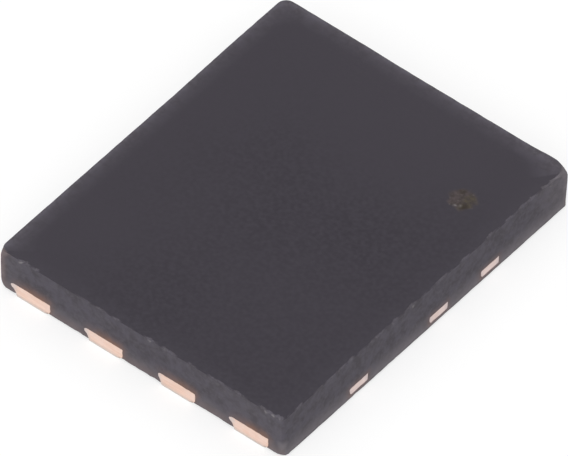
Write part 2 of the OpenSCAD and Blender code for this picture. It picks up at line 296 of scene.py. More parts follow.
def lid(first, count, turn=1):
    """One face over a whole ring of points."""
    return (first + np.arange(count))[::turn].tolist()


def make_piece(name, points, faces, finish, slot, sharp, replaces=(), **numbers):
    """A piece at the origin, from points in millimetres and faces, with its finish and the numbers
    that it carries at each point. The slot is not used."""
    mesh = bpy.data.meshes.new(name)
    mesh.from_pydata((np.asarray(points) * MM).tolist(), [], faces)
    for label, values in numbers.items():
        layer = mesh.attributes.new(label, "FLOAT", "POINT")
        layer.data.foreach_set("value", np.asarray(values, np.float32).ravel())
    mesh.shade_smooth()
    mesh.set_sharp_from_angle(angle=math.radians(sharp))
    mesh.materials.append(finish)
    piece = add_object(name, mesh)
    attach(piece, "root")
    if replaces:
        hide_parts(*replaces)
    print(name, "has", len(mesh.vertices), "points and", len(mesh.polygons), "faces")


# %% [markdown]
# ## Roughness that repeats exactly
#
# Broken edges need numbers that look random and yet come out the same on every run. Blender's
# noise belongs to finishes, so the shapes get their own: a lattice of random values, blended
# smoothly between the corners of each cell.

# %% Noise for shapes


def lattice(ix, iy, iz, seed):
    """A random number from -1 to 1 for each lattice point: its whole numbers times large primes,
    mixed bit by bit."""
    h = (ix * 374761393 + iy * 668265263 + iz * 1103515245 + seed * 974711) & 0xFFFFFFFF
    h = ((h ^ (h >> 13)) * 1274126177) & 0xFFFFFFFF
    h = ((h ^ (h >> 16)) * 1597334677) & 0xFFFFFFFF
    return (h ^ (h >> 15)) / 0x7FFFFFFF - 1.0


def ripple(points, size, seed):
    """Smooth noise from -1 to 1: the eight corners of each point's lattice cell, weighed by how
    near they lie. The size is the cell's, one or three numbers."""
    scaled = np.asarray(points) / np.asarray(size)
    cell = np.floor(scaled).astype(np.int64)
    part = scaled - cell
    part = part * part * (3 - 2 * part)
    total = 0.0
    for corner in range(8):
        step = np.array([corner & 1, corner >> 1 & 1, corner >> 2 & 1])
        weight = np.prod(np.where(step == 1, part, 1 - part), axis=-1)
        total = total + weight * lattice(*np.moveaxis(cell + step, -1, 0), seed)
    return total


def rough(points, size, seed, layers=3):
    """Layers of ripples, each half the size and half the height of the one before."""
    sizes = [np.asarray(size) / 2**k for k in range(layers)]
    return sum(ripple(points, s, seed + k) / 2**k for k, s in enumerate(sizes))


def smooth_step(x, low, high):
    """Smooth step from 0 at low to 1 at high."""
    t = np.clip((x - low) / (high - low), 0, 1)
    return t * t * (3 - 2 * t)


# %% [markdown]
# ## The moulded block: columns round the outline
#
# The block is one closed skin. A column of points runs from the underside up a side, over the
# edge and onto the top, and some 1100 columns stand side by side round the outline. A cube with a
# bevel would be quicker, but its edge would be even, and a sawn edge of filled epoxy is a row of
# small chips. With columns, each one can be cut back by its own amount.

# %% Columns of the block
block_low, block_high = (np.array(corner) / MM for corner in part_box("mould_body"))
HALF = (block_high - block_low)[:2] / 2
UNDER, TOP = block_low[2], block_high[2]
COLUMN_STEP, CORNER_STEPS, GUIDE_R = 0.02, 12, 0.06


def outline_columns():
    """Columns round the block: four sides and four quarter turns. Each has its place, from -1 to
    1 across the block, and the angle that it faces."""
    place, facing = [], []
    for quarter in range(4):
        length = 2 * HALF[1 - quarter % 2]
        t = np.linspace(-1, 1, int(round(length / COLUMN_STEP)) + 1)[1:-1]
        angle = quarter * np.pi / 2
        out = np.array([np.cos(angle), np.sin(angle)]).round()
        left = np.array([-out[1], out[0]])
        bend = np.linspace(0, np.pi / 2, CORNER_STEPS + 1)
        place += [out + t[:, None] * left, np.repeat([out + left], len(bend), 0)]
        facing += [np.full(len(t), angle), angle + bend]
    return np.concatenate(place), np.concatenate(facing)


PLACE, facing_angle = outline_columns()
FACING = np.stack([np.cos(facing_angle), np.sin(facing_angle)], -1)
COLUMNS = len(PLACE)


def ring(inset, radius):
    """The outline drawn in by an inset: the middle of the corner radius, moved out by it the way
    the column faces. Inset and radius may differ by column."""
    inset, radius = (np.broadcast_to(number, COLUMNS)[:, None] for number in (inset, radius))
    return PLACE * (HALF - inset - radius) + radius * FACING


guide = ring(0.0, GUIDE_R)
gaps = np.linalg.norm(np.roll(guide, -1, 0) - guide, axis=1)
ALONG = np.concatenate([[0], np.cumsum(gaps)[:-1]])
ROUND = gaps.sum()
print("columns", COLUMNS, "outline", round(float(ROUND), 2), "mm")


def nearest_column(x, y):
    """The number of the column that stands nearest to a point of the outline."""
    return np.argmin(np.hypot(guide[:, 0] - x, guide[:, 1] - y))


def near_corner(corner, full, reach, line=guide):
    """1 for columns within a distance of one upright edge of the block, and 0 from the reach on."""
    return 1 - smooth_step(np.linalg.norm(line - HALF * corner, axis=1), full, reach)


# %% [markdown]
# ## Chips along the edges
#
# The saw breaks grains of silica out of the edge. Each chip is a hollow bite: deepest in its
# middle, gone at its ends. Hundreds of small ones lie anywhere, and a few larger ones lie where
# the photograph shows them. Where several meet, the deepest wins. The two far sides are cleaner.

# %% Chips
dice = np.random.default_rng(11)


def chips(groups, seen=()):
    """How far the edge is cut back at each column: the deepest of all chips there, each a parabola,
    smoothed over five columns. A group is a count, the least and most half width, and the least
    and most depth."""
    middles, widths, depths = [], [], []
    for count, thin, wide, shallow, deep in groups:
        middles.append(dice.uniform(0, ROUND, count))
        widths.append(dice.uniform(thin, wide, count))
        depths.append(shallow + (deep - shallow) * dice.uniform(0, 1, count) ** 2)
    for x, y, width, depth in seen:
        middles.append([ALONG[nearest_column(x, y)]])
        widths.append([width])
        depths.append([depth])
    middles, widths, depths = map(np.concatenate, (middles, widths, depths))
    off = (ALONG[None, :] - middles[:, None] + ROUND / 2) % ROUND - ROUND / 2
    cut = (depths[:, None] * (1 - np.clip(np.abs(off) / widths[:, None], 0, 1) ** 2)).max(0)
    return sum(w * np.roll(cut, k) for k, w in ((-2, 0.1), (-1, 0.2), (0, 0.4), (1, 0.2), (2, 0.1)))


TOP_CHIPS = [(260, 0.05, 0.10, 0.002, 0.010), (80, 0.07, 0.14, 0.008, 0.022), (12, 0.09, 0.16, 0.016, 0.030)]
FOOT_CHIPS = [(300, 0.03, 0.07, 0.001, 0.009), (50, 0.04, 0.10, 0.006, 0.018)]
SEEN_CHIPS = [
    (-2.13, -3.01, 0.07, 0.036), (0.15, -3.01, 0.08, 0.026), (0.42, -3.01, 0.07, 0.020),
    (2.16, -3.01, 0.08, 0.026), (2.30, -3.01, 0.07, 0.028), (2.42, -3.01, 0.06, 0.030),
    (2.475, -1.57, 0.10, 0.018), (2.475, -0.99, 0.09, 0.022), (2.475, -0.65, 0.09, 0.020),
    (2.475, -0.30, 0.10, 0.032), (2.475, 1.38, 0.10, 0.024), (2.475, 1.80, 0.09, 0.022),
    (2.475, 2.27, 0.12, 0.032), (2.475, 2.65, 0.12, 0.036), (-2.475, 0.64, 0.12, 0.028),
    (1.04, 3.01, 0.12, 0.026),
]
EDGE_WEAR, EDGE_WAVES = 0.005, 0.007
line = np.stack([ALONG, 0 * ALONG, 0 * ALONG], -1)
top_chips = EDGE_WEAR + np.maximum(EDGE_WAVES * (1 + rough(line, 0.2, 3)), chips(TOP_CHIPS, SEEN_CHIPS))
BACK = smooth_step(FACING @ [-1, 1], -0.7, 0.7)
top_chips *= 1 - 0.8 * BACK
foot_chips = EDGE_WEAR + chips(FOOT_CHIPS)
foot_chips *= 1 - 0.6 * smooth_step(FACING[:, 0], 0.3, 1.0)
print("deepest chips at the top and at the foot in mm", top_chips.max().round(3), foot_chips.max().round(3))

# %% [markdown]
# ## Worn corners
#
# The tips of the upright edges have lost a little more. The photograph shows it on the far and
# right corners' tops and on the front corner's foot. Each corner therefore has three radii, for
# its top, its middle and its foot, and the radius grows towards both tips.

# %% Corner radii
TIP_HEIGHT, TIP_REACH, PLAIN_R = 0.17, 0.8, 0.05
CORNER_R = {
    (1, 1): (0.23, 0.02, 0.06), (-1, 1): (0.14, 0.05, 0.10),
    (-1, -1): (0.13, 0.025, 0.11), (1, -1): (0.075, 0.06, 0.11),
}
corner_r = PLAIN_R * np.ones((3, COLUMNS))
for corner, radii in CORNER_R.items():
    corner_r += np.subtract(radii, PLAIN_R)[:, None] * near_corner(corner, 0.0, TIP_REACH, PLACE * HALF)
top_r, middle_r, foot_r = corner_r


def corner_radius(height):
    """The middle radius, which turns into the top's or the foot's over the tip height, with the
    square of the way there."""
    up = np.clip((height - TOP) / TIP_HEIGHT + 1, 0, 1) ** 2
    down = np.clip((UNDER - height) / TIP_HEIGHT + 1, 0, 1) ** 2
    return middle_r + up * (top_r - middle_r) + down * (foot_r - middle_r)


# %% [markdown]
# ## Rows up the side and over the edge
#
# A row is a distance along the profile, counted from the sharp edge: negative on the flat face,
# positive on the side. Rows crowd together at the edge. Inside a chip, a point slides from the
# flat face to the side along a hollow line, so the bite has real depth.

# %% Rows of the block
EDGE_ROWS = np.array([0.002, 0.006, 0.011, 0.018, 0.027, 0.040, 0.058, 0.082])
FLAT_ROWS = np.array([0.12, 0.18, 0.28, 0.34])
SIDE_ROW_STEP = 0.02
TOP_HOLLOW, FOOT_HOLLOW = 0.16, 0.12


def over_edge(distance, chip, flat_share, side_share, hollow):
    """Inset, drop and how broken it is, for a row at a signed distance from the sharp edge. Outside
    the chip a point stays on its face. Inside, q runs from 0 at the chip's end on the flat face
    to 1 at its end on the side, and both inset and drop get a bulge inwards."""
    on_flat, on_side = chip * flat_share, chip * side_share
    q = 0.5 + 0.5 * distance / (on_flat if distance < 0 else on_side)
    broken = (q > 0) & (q < 1)
    bite = hollow * chip * 4 * q * (1 - q)
    inset = np.where(broken, on_flat * (1 - q) + bite, max(-distance, 0.0))
    drop = np.where(broken, on_side * q + bite, max(distance, 0.0))
    return inset, drop, broken * smooth_step(chip, 0.008, 0.02)


flat_share = 1.0 + 0.45 * ripple(line, 0.11, 5)
side_share = 1.15 + 0.55 * ripple(line, 0.13, 6)
inward_rows = np.concatenate([-FLAT_ROWS[::-1], -EDGE_ROWS[::-1], EDGE_ROWS])
foot = [over_edge(d, foot_chips, side_share, flat_share, FOOT_HOLLOW) for d in inward_rows]
head = [over_edge(d, top_chips, flat_share, side_share, TOP_HOLLOW) for d in inward_rows[::-1]]
first_height, last_height = UNDER + EDGE_ROWS[-1] + SIDE_ROW_STEP, TOP - EDGE_ROWS[-1] - SIDE_ROW_STEP / 2
side_heights = np.arange(first_height, last_height, SIDE_ROW_STEP)
plain = np.zeros(COLUMNS)
profile = (
    [(inset, UNDER + drop, broken) for inset, drop, broken in foot]
    + [(plain, plain + z, plain) for z in side_heights]
    + [(inset, TOP - drop, broken) for inset, drop, broken in head]
)
insets, heights, chipped = np.array(profile).swapaxes(0, 1)
ROWS = len(profile)
skin = np.stack([np.column_stack([ring(i, corner_radius(z) + i / 2), z]) for i, z in zip(insets, heights)])
print("rows", ROWS, "quads in the skin", (ROWS - 1) * COLUMNS)

# %% [markdown]
# ## Where copper meets the sides
#
# Four leads end in each short side, and three tie bars in each long side. The saw drags a film of
# copper over the epoxy beside them, a brown halo over each lead and to its right, and a warm tint
# along the foot of the short sides. The epoxy right beside the copper is left undished.

# %% Ends of leads and tie bars
FRAME_Z, FRAME_T, ETCHED = 0.015, 0.203, 0.06
PITCH, LEAD_TOP = 1.27, FRAME_Z + FRAME_T
LEAD_X = [(k - 1.5) * PITCH for k in range(4)]
TIE_Y, TIE_HALF_W, TIE_TOP = [-1.42, 0.27, 1.36], 0.19, 0.2
BESIDE_LEAD, BESIDE_SHIFT = 0.35, 0.02
FILM_REACH, FILM_HALF_W, FILM_LOW, TIE_GAP, FOOT_FILM = 0.22, 0.25, 0.09, 0.09, 0.16
FAR = 9.0
x, y, z = np.moveaxis(skin, -1, 0)
on_short = np.abs(skin @ [0, 1, 0]) > HALF[1] - 0.05
on_long = (np.abs(x) > HALF[0] - 0.05) & ~on_short


def from_box(on_side, along, half_width, low, high):
    """Distance in the plane of a side from an upright rectangle: 0 inside it, FAR off that side."""
    beside, above = np.abs(along) - half_width, np.abs(z - (low + high) / 2) - (high - low) / 2
    return np.where(on_side, np.hypot(beside.clip(0), above.clip(0)), FAR)


from_leads = [from_box(on_short, x - lead + BESIDE_SHIFT, BESIDE_LEAD, 0.0, LEAD_TOP) for lead in LEAD_X]
from_ties = [from_box(on_long, y - tie, TIE_HALF_W, ETCHED, TIE_TOP) for tie in TIE_Y]
to_copper = np.min(from_leads + from_ties, axis=0)
from_leads = [from_box(on_short, x - lead, FILM_HALF_W, FILM_LOW, LEAD_TOP) for lead in LEAD_X]
from_ties = [from_box(on_long, y - tie, TIE_HALF_W, FRAME_Z + ETCHED, TIE_TOP) + TIE_GAP for tie in TIE_Y]
to_film = np.min(from_leads + from_ties, axis=0)
tail = np.ones(x.shape)
for lead in LEAD_X:
    tail = np.where(on_short & (np.abs(x - lead) < 0.6), 0.3 + 0.7 * smooth_step(x - lead, -0.3, 0.0), tail)
island = 1 - smooth_step(to_copper, 0.02, 0.07)
film = np.clip(1 - (to_film + 0.012 * rough(skin, 0.06, 61)) / FILM_REACH, 0, 1) ** 2
film = film * (0.85 + 0.25 * ripple(skin, 0.05, 66)) * tail
film = np.maximum(film, np.where(on_short, FOOT_FILM * (1 - smooth_step(z, 0.06, 0.24)), 0))
print("points beside copper", int((island > 0.5).sum()))

# %% [markdown]
# ## Relief of the faces
#
# The saw leaves the sides dished between harder grains, by two or three thousandths of a
# millimetre, and always inwards, so that the copper ends stand a hair proud as the real ones do.
# The top's relief is smoother and fades out before the flat middle. Three places are left a
# little full: the upper part of the corner by the first pin, that of the corner at -X, which runs
# out over some millimetres, and a low fringe along the foot of the side towards +X.

# %% Relief
PIN_BURR, PIN_REACH = 0.020, 0.8
FAR_BURR, FAR_REACH = 0.015, 3.0
FRINGE, FRINGE_TOP = 0.012, 0.11
on_side = smooth_step(heights, UNDER, UNDER + 0.02) * (1 - smooth_step(heights, TOP - 0.02, TOP))
sawn = np.where(insets < 1e-9, on_side, 0.0)
dish = 0.0028 + 0.0013 * rough(skin, 0.09, 21) + 0.0009 * rough(skin, (0.35, 0.35, 0.03), 25, 2)
dish = dish * (1 - island) - 0.001 * island
pin_corner = near_corner((1, 1), 0.05, PIN_REACH, PLACE * HALF)
far_corner = near_corner((-1, 1), 1.0, FAR_REACH, PLACE * HALF)
dish -= PIN_BURR * pin_corner * smooth_step(heights, 0.1, 0.6) + FAR_BURR * far_corner * smooth_step(heights, 0.25, 0.6)
in_upper_half = heights > 0.5
skin[..., :2] -= FACING * (dish * np.maximum(sawn, np.maximum(pin_corner, far_corner) * in_upper_half))[..., None]
fringe = (1 - smooth_step(heights, UNDER, FRINGE_TOP)) * (1 - smooth_step(insets, 0, 0.15))
fringe *= smooth_step(FACING[:, 0], 0.5, 1.0)
skin[..., :2] += FACING * (FRINGE * fringe)[..., None]
flatness = smooth_step(0.26 - insets, 0, 0.2) * (1 - on_side)
swell = flatness * (0.0007 + 0.0005 * rough(skin, 0.06, 31))
skin[..., 2] += np.where(heights > (TOP + UNDER) / 2, -swell, swell)
print("skin box in mm", (skin.max((0, 1)) - skin.min((0, 1))).round(4))

# %% [markdown]
# ## Wear and painted glare
#
# Rubbed epoxy is paler. The sides are rubbed at the upright edges, the front corner at its foot
# alone. Towards their foot the sides are paler from dust and from painted glare. The rim of the
# top is lighter from painted glare, most of all along its far edges, where a thin bright line runs.

# %% Where the epoxy is rubbed or dusty, and where glare is painted
WORN = [
    ((1, 1), 0.7, 0.08, 0.20), ((-1, 1), 0.4, 0.05, 0.16), ((-1, -1), 0.68, 0.07, 0.17),
    ((1, 1), 0.31, 0.10, 0.90), ((-1, -1), 0.16, 0.10, 0.60), ((1, -1), 0.08, 0.50, 2.20),
]
# Dust and painted glare: the sides grow paler towards their foot.
paler = on_side * (1 - smooth_step(heights, -0.05, 0.38)) * (0.7 + 0.13 * rough(skin, 0.12, 71))
for corner, wear, full, reach in WORN:
    near = near_corner(corner, full, reach)
    if corner == (1, -1):
        near = near * (FACING[:, 0] < 0.5)
    paler = np.maximum(paler, wear * near * on_side * (0.8 + 0.3 * rough(skin, 0.07, 72)))
front_foot = near_corner((1, -1), 0.04, 0.16) * on_side * (1 - smooth_step(heights, 0.22, 0.36))
paler = np.maximum(paler, 0.6 * front_foot)
film = np.maximum(film, 0.20 * near_corner((-1, -1), 0.06, 0.20) * on_side)
# Painted glare: a lighter rim round the top, brightest in a thin line along its far edges.
corner_glare = 1 - smooth_step(np.linalg.norm(np.abs(guide) - HALF, axis=1), 0.2, 0.9)
corner_glare *= np.where(guide[:, 0] > 0, 0.5, 0.2) * (BACK > 0)
painted_glare_rim = (0.10 + 0.42 * BACK + corner_glare) * (1 - smooth_step(insets, 0.0, 0.32))
painted_glare_rim = (painted_glare_rim + 0.45 * BACK * (1 - smooth_step(insets, 0.02, 0.10))) * in_upper_half
print("palest", paler.max().round(2), "strongest film", film.max().round(2))

# %% [markdown]
# ## Grains that glitter
#
# A broken edge shows mostly the same grey as the sawn sides. Only a few large grains of silica
# catch the light, where the photograph shows them and at a few more places round the back. Each
# has a place on the outline, a distance down from the edge and a strength.

# %% Glittering grains
GLITTER_R = 0.03
GLITTER = [
    (-2.13, -3.01, 0.045, 0.75), (0.15, -3.01, 0.036, 0.45), (0.42, -3.01, 0.030, 0.2), (1.34, -3.01, 0.062, 0.15),
    (2.19, -3.01, 0.036, 0.55), (2.32, -3.01, 0.022, 0.55), (2.42, -3.01, 0.030, 0.1), (2.475, -1.55, 0.025, 0.06),
    (2.475, -0.67, 0.047, 0.12), (2.475, -0.27, 0.042, 0.5), (2.475, 0.34, 0.010, 0.05), (2.475, 2.66, 0.080, 0.25),
    (-2.475, 1.10, 0.020, 0.7), (-2.475, -1.90, 0.010, 0.5), (-0.60, 3.01, 0.020, 0.8), (1.70, 3.01, 0.015, 0.5),
]
down_from_top = np.concatenate([np.full(len(inward_rows) + len(side_heights), FAR), inward_rows[::-1]])
glitter = np.zeros(heights.shape)
for grain_x, grain_y, down, strength in GLITTER:
    along = ALONG - ALONG[nearest_column(grain_x, grain_y)]
    off = (along[None, :] ** 2 + (down_from_top - down)[:, None] ** 2) / GLITTER_R**2
    glitter = np.maximum(glitter, strength * np.clip(1 - off, 0, 1))
print("glittering points", int((glitter > 0).sum()))

# %% [markdown]
# ## The first-pin mark
#
# A laser burnt a small round spot into the top, near one corner: a shallow pocket with a rough
# floor, a ragged rim and brownish colours. The patch is a disc of rings, set into a round hole
# that is left in the flat top.

# %% Mark
MARK_X, MARK_Y, MARK_R = block_high[0] - 0.7, block_high[1] - 1.37, 0.22
MARK_RINGS, MARK_SPOKES, MARK_REACH = 30, 112, 1.35
radii = MARK_R * np.linspace(MARK_REACH, 0.0, MARK_RINGS + 1)[:-1]
angles = np.linspace(0, 2 * np.pi, MARK_SPOKES, endpoint=False)
r_grid, a_grid = np.meshgrid(radii, angles, indexing="ij")
disc = np.stack([MARK_X + r_grid * np.cos(a_grid), MARK_Y + r_grid * np.sin(a_grid), np.full(r_grid.shape, TOP)], -1)
ragged = r_grid + 0.036 * rough(disc, 0.11, 41)
burnt = (1 - smooth_step(ragged, MARK_R * 0.66, MARK_R * 1.08)) * (r_grid < MARK_R * 1.3)
floor_relief = 0.005 + 0.004 * rough(disc, 0.06, 43) + 0.0015 * rough(disc, 0.025, 44, 2)
rim_swell = 0.0015 * 4 * burnt * (1 - burnt)
disc[..., 2] += rim_swell - burnt * floor_relief
mark_middle = np.array([[MARK_X, MARK_Y, disc[-1, :, 2].mean()]])


def spot(x, y, radius):
    """1 in the middle of a round spot at a place counted from the mark's, 0 from its radius on."""
    far = np.hypot(disc[..., 0] - (MARK_X + x), disc[..., 1] - (MARK_Y + y))
    return 1 - smooth_step(far + 0.02 * rough(disc, 0.06, 45), 0.0, radius)


olive = burnt * smooth_step(disc[..., 0] + 0.03 * rough(disc, 0.1, 46), MARK_X - 0.03, MARK_X + 0.05)
soot = burnt * np.maximum(spot(0.10, -0.09, 0.10), 0.6 * spot(-0.12, 0.13, 0.12))
grain_light = np.maximum(0.8 * spot(-0.03, -0.14, 0.040), 0.2 * spot(0.04, -0.10, 0.045))
print("mark at", MARK_X.round(3), MARK_Y.round(3), "deepest", (TOP - disc[..., 2].min()).round(4), "mm")

# %% [markdown]
# ## Closing the skin
#
# The flat middle of the top lies between the innermost ring of the skin and the rim of the mark.
# A face can't have a hole, but two faces can share the work: a short line joins the rings towards
# +X and one towards -X, and each half is one flat face. The underside is one such face too.

# %% Points and faces of the block
mark_first, top_first = ROWS * COLUMNS, (ROWS - 1) * COLUMNS
middle_number = mark_first + MARK_RINGS * MARK_SPOKES
block_points = np.concatenate([skin.reshape(-1, 3), disc.reshape(-1, 3), mark_middle])


def top_half(first_column, last_column, last_spoke, first_spoke):
    """One face: from column to column round the skin's last ring, then back along the mark's rim,
    where both counts start again after their last."""
    outer = (first_column + np.arange((last_column - first_column) % COLUMNS + 1)) % COLUMNS
    inner = (last_spoke - np.arange((last_spoke - first_spoke) % MARK_SPOKES + 1)) % MARK_SPOKES
    return [*(top_first + outer).tolist(), *(mark_first + inner).tolist()]


inner_x, inner_y = skin[-1, :, 0], skin[-1, :, 1]
east, west = (int(np.argmin(np.hypot(inner_x - side * HALF[0], inner_y - MARK_Y))) for side in (1, -1))
top_faces = [top_half(east, west, MARK_SPOKES // 2, 0), top_half(west, east, 0, MARK_SPOKES // 2)]
last_ring = np.arange(MARK_SPOKES)
fan = np.stack([last_ring, np.roll(last_ring, -1), np.full(MARK_SPOKES, MARK_SPOKES)], -1)
block_faces = (
    bands(ROWS, COLUMNS)
    + bands(MARK_RINGS, MARK_SPOKES, mark_first)
    + (fan + middle_number - MARK_SPOKES).tolist()
    + top_faces
    + [lid(0, COLUMNS, turn=-1)]
)
print("corners of the two top faces", [len(face) for face in top_faces])

# %% [markdown]
# ## The finish of the epoxy
#
# One finish serves the whole block, led by the numbers that the mesh carries. The moulded top is
# the darkest: a fine, even satin with hardly any sheen, and painted glare makes it a shade paler
# towards its two far edges. Sawn sides are mottled and paler, because the saw opens grains of
# silica, most of all at the upright edges; at their foot, dust and painted glare make them paler.
# The film beside the copper is brown, the mark olive and grey.

# %% Mould compound
compound = new_finish("mould_compound", metallic=0.0, roughness=0.6, specular=0.22)
NUMBERS = ("sawn", "chipped", "film", "burnt", "paler", "glitter", "olive", "soot")
is_sawn_and_glare_rim, is_chipped, is_film, is_burnt, is_wear_dust_and_glare, is_bright, is_olive, is_sooty = (
    carried(compound, name) for name in NUMBERS
)

satin = mixed(grain(compound, 2.2, 0.35, 0.65), paint(50, 46, 54), paint(55, 51, 59))
# Painted glare: the top grows lighter towards its far edges, at +Y and at -X.
painted_glare_y = spanned(place_in_mm(compound, "Y"), 0.2, 3.2, 0.0, 0.68)
painted_glare_x = spanned(place_in_mm(compound, "X"), 0.0, -2.6, 0.0, 0.6)
satin = mixed(sum_of("MAXIMUM", painted_glare_y, painted_glare_x), satin, paint(66, 62, 69))
satin = mixed(grain(compound, 0.06, 0.35, 0.7, detail=3), satin, paint(60, 56, 64))
cut = mixed(grain(compound, 0.14, 0.36, 0.64), paint(81, 77, 83), paint(93, 89, 98))
cut = mixed(grain(compound, 0.06, 0.45, 0.8, shift=1.0), cut, paint(96, 92, 99))
# Rubbed upright edges, and a foot made paler by dust and painted glare, take a paler grey.
cut = mixed(is_wear_dust_and_glare, cut, paint(134, 128, 132))
# The sawn sides, the chips and the painted glare rim of the top take the paler cut colour.
rim = sum_of("MAXIMUM", is_sawn_and_glare_rim, is_chipped)
epoxy = mixed(rim, satin, cut)
crumbs = grain(compound, 0.03, 0.5, 0.7, shift=7.0)
epoxy = mixed(product(is_chipped, product(crumbs, 0.25)), epoxy, paint(118, 113, 117))
epoxy = mixed(is_film, epoxy, paint(142, 109, 94))
ash = mixed(is_olive, paint(84, 75, 76), paint(80, 73, 62))
scorched = mixed(grain(compound, 0.08, 0.38, 0.62, detail=3, shift=5.0), paint(66, 59, 58), ash)
scorched = mixed(grain(compound, 0.05, 0.62, 0.78, detail=1, shift=9.0), scorched, paint(98, 91, 89))
scorched = mixed(is_sooty, scorched, paint(54, 47, 40))
epoxy = mixed(is_burnt, epoxy, scorched)
epoxy = mixed(product(is_bright, spanned(crumbs, 0, 1, 0.6, 1.0)), epoxy, paint(176, 172, 172))

fine = grain(compound, 0.03, detail=3)
scratches = grain(compound, 0.08, stretch=(5, 5, 0.18), shift=2.0)
sawn_relief = sum_of("ADD", product(scratches, 0.2), grain(compound, 0.06, shift=4.0))
broken_relief = product(sum_of("MAXIMUM", is_chipped, is_burnt), grain(compound, 0.02, shift=6.0))
worn = bumped(product(is_sawn_and_glare_rim, sawn_relief), 2.4, after=bumped(fine, 1.2))
worn = bumped(broken_relief, 6.0, after=worn)
sheen = spanned(sum_of("MAXIMUM", rim, is_burnt), 0, 1, 0.58, 0.8)
sheen = sum_of("ADD", sheen, spanned(fine, 0.3, 0.7, -0.05, 0.05))
coat(compound, {"Base Color": epoxy, "Roughness": sheen, "Normal": worn})
print("nodes in the compound's finish", len(compound.node_tree.nodes))

# %% Build the block


def with_mark(on_skin, on_mark=0.0 * burnt):
    """A number for each point: the skin's first, then the mark's and its middle point's."""
    return np.concatenate([on_skin.clip(0, 1).ravel(), on_mark.ravel(), on_mark[-1:, 0]])


nowhere = 0 * heights
# The sawn number carries the sawn sides and also the painted glare rim of the top.
make_piece(
    "mould_skin", block_points, block_faces, compound, "mould_compound", replaces=["mould_body"], sharp=32,
    sawn=with_mark(np.maximum(sawn, painted_glare_rim)), chipped=with_mark(chipped), film=with_mark(film * on_side),
    paler=with_mark(paler), glitter=with_mark(glitter, grain_light), burnt=with_mark(nowhere, burnt),
    olive=with_mark(nowhere, olive), soot=with_mark(nowhere, soot),
)

# %% [markdown]
# ## Cut ends of the leads
#
# The leads were etched from both faces before moulding, so each section has a hook on one flank,
# a hollow under it and a rounded foot on the other. The CAD model has this section, with few
# points on its small radii. A cap with many points covers each end: it stands a few thousandths
# of a millimetre proud of the epoxy, with a softened rim and slight waves. The saw also smears
# the hook into a blunt nose.

# %% Section of a lead


def arc(middle, radius, start, stop, steps):
    """Points on a circle from one angle in degrees to another."""
    t = np.radians(np.linspace(start, stop, steps))
    return np.column_stack([middle[0] + radius * np.cos(t), middle[1] + radius * np.sin(t)])


def spaced(points, step):
    """The closed outline with its straight pieces cut into equal parts of a step at most."""
    following = np.roll(points, -1, 0)
    counts = np.maximum(1, np.ceil(np.linalg.norm(following - points, axis=1) / step).astype(int))
    owner = np.repeat(np.arange(len(points)), counts)
    share = (np.arange(len(owner)) - np.repeat(np.cumsum(counts) - counts, counts)) / counts[owner]
    return points[owner] + share[:, None] * (following - points)[owner]


OUTLINE_STEP = 0.012
LAND_LEFT, LAND_RIGHT, LEAD_HALF = -0.285, 0.225, 0.31
HOLLOW_R, HOLLOW_TOP, FOOT_R, TIE_R = 0.16, 0.115, 0.085, 0.03
NOSE = [(-0.30, 0.2035), (-0.335, 0.199), (-0.358, 0.187), (-0.371, 0.168), (-0.368, 0.150), (-0.353, 0.128)]
hollow_start = math.degrees(math.asin(HOLLOW_TOP / HOLLOW_R))
lead_outline = spaced(np.concatenate([
    arc((LAND_RIGHT, FOOT_R), FOOT_R, -90, 0, 9),
    [(LEAD_HALF, FRAME_T - 0.008), (LEAD_HALF - 0.003, FRAME_T - 0.002), (LEAD_HALF - 0.010, FRAME_T)],
    NOSE,
    arc((LAND_LEFT - HOLLOW_R, 0), HOLLOW_R, hollow_start, 0, 12),
]), OUTLINE_STEP)
tie_outline = spaced(np.concatenate([
    arc((TIE_HALF_W - 0.034, 0.03), TIE_R, -90, 0, 6),
    [(TIE_HALF_W + 0.004, 0.118), (TIE_HALF_W - 0.004, 0.131), (TIE_HALF_W - 0.026, 0.127)],
    arc((-TIE_HALF_W + 0.032, 0.098), TIE_R, 90, 180, 6),
    arc((-TIE_HALF_W + 0.062, 0.060), 2 * TIE_R, 180, 270, 8),
]), OUTLINE_STEP)
print("points on a lead's outline", len(lead_outline), "and on a tie bar's", len(tie_outline))

# %% [markdown]
# ## From section to cap
#
# Rings of the outline are stacked: one sunk in the epoxy, one at the rim, and ever smaller ones
# across the face, each drawn towards a short line through the middle of the section. The outline
# wavers a little, differently at each end.

# %% Caps
PROUD, SUNK_IN, SOFTENED = 0.0035, 0.022, 0.0018
RING_SHARES = np.array([0.0, 0.0, 0.012, 0.05, 0.14, 0.28, 0.44, 0.6, 0.76, 0.9])
RING_DEPTHS = np.array([-SUNK_IN, PROUD - SOFTENED] + 8 * [PROUD])


def cap_points(outline, spine_half, spine_z, seed):
    """Rings by share k: a point p of the outline goes to p + k (s - p), where s is the nearest
    point of the middle line. The depth gets slight waves."""
    lifted = np.column_stack([outline, np.full(len(outline), seed * 1.7)])
    spine = np.column_stack([np.clip(outline[:, 0], -spine_half, spine_half), np.full(len(outline), spine_z)])
    outward = outline - spine
    outward /= np.linalg.norm(outward, axis=1)[:, None]
    wavy = outline + outward * (0.0035 * rough(lifted, 0.05, 80 + seed))[:, None]
    spine[:, 0] = np.clip(wavy[:, 0], -spine_half, spine_half)
    flat = wavy + RING_SHARES[:, None, None] * (spine - wavy)
    depth = np.broadcast_to(RING_DEPTHS[:, None], flat.shape[:2])
    place = np.concatenate([flat, depth[..., None]], -1)
    place[..., 2] += 0.0006 * rough(place + seed, (0.1, 0.02, 1.0), 90) * (RING_SHARES > 0.001)[:, None]
    return place


def with_nose(outline, share):
    """The outline with its nose, all that lies left of its root, drawn out or pressed in."""
    x, root = outline[:, 0], -0.29
    return np.column_stack([np.where(x < root, root + (x - root) * share, x), outline[:, 1]])


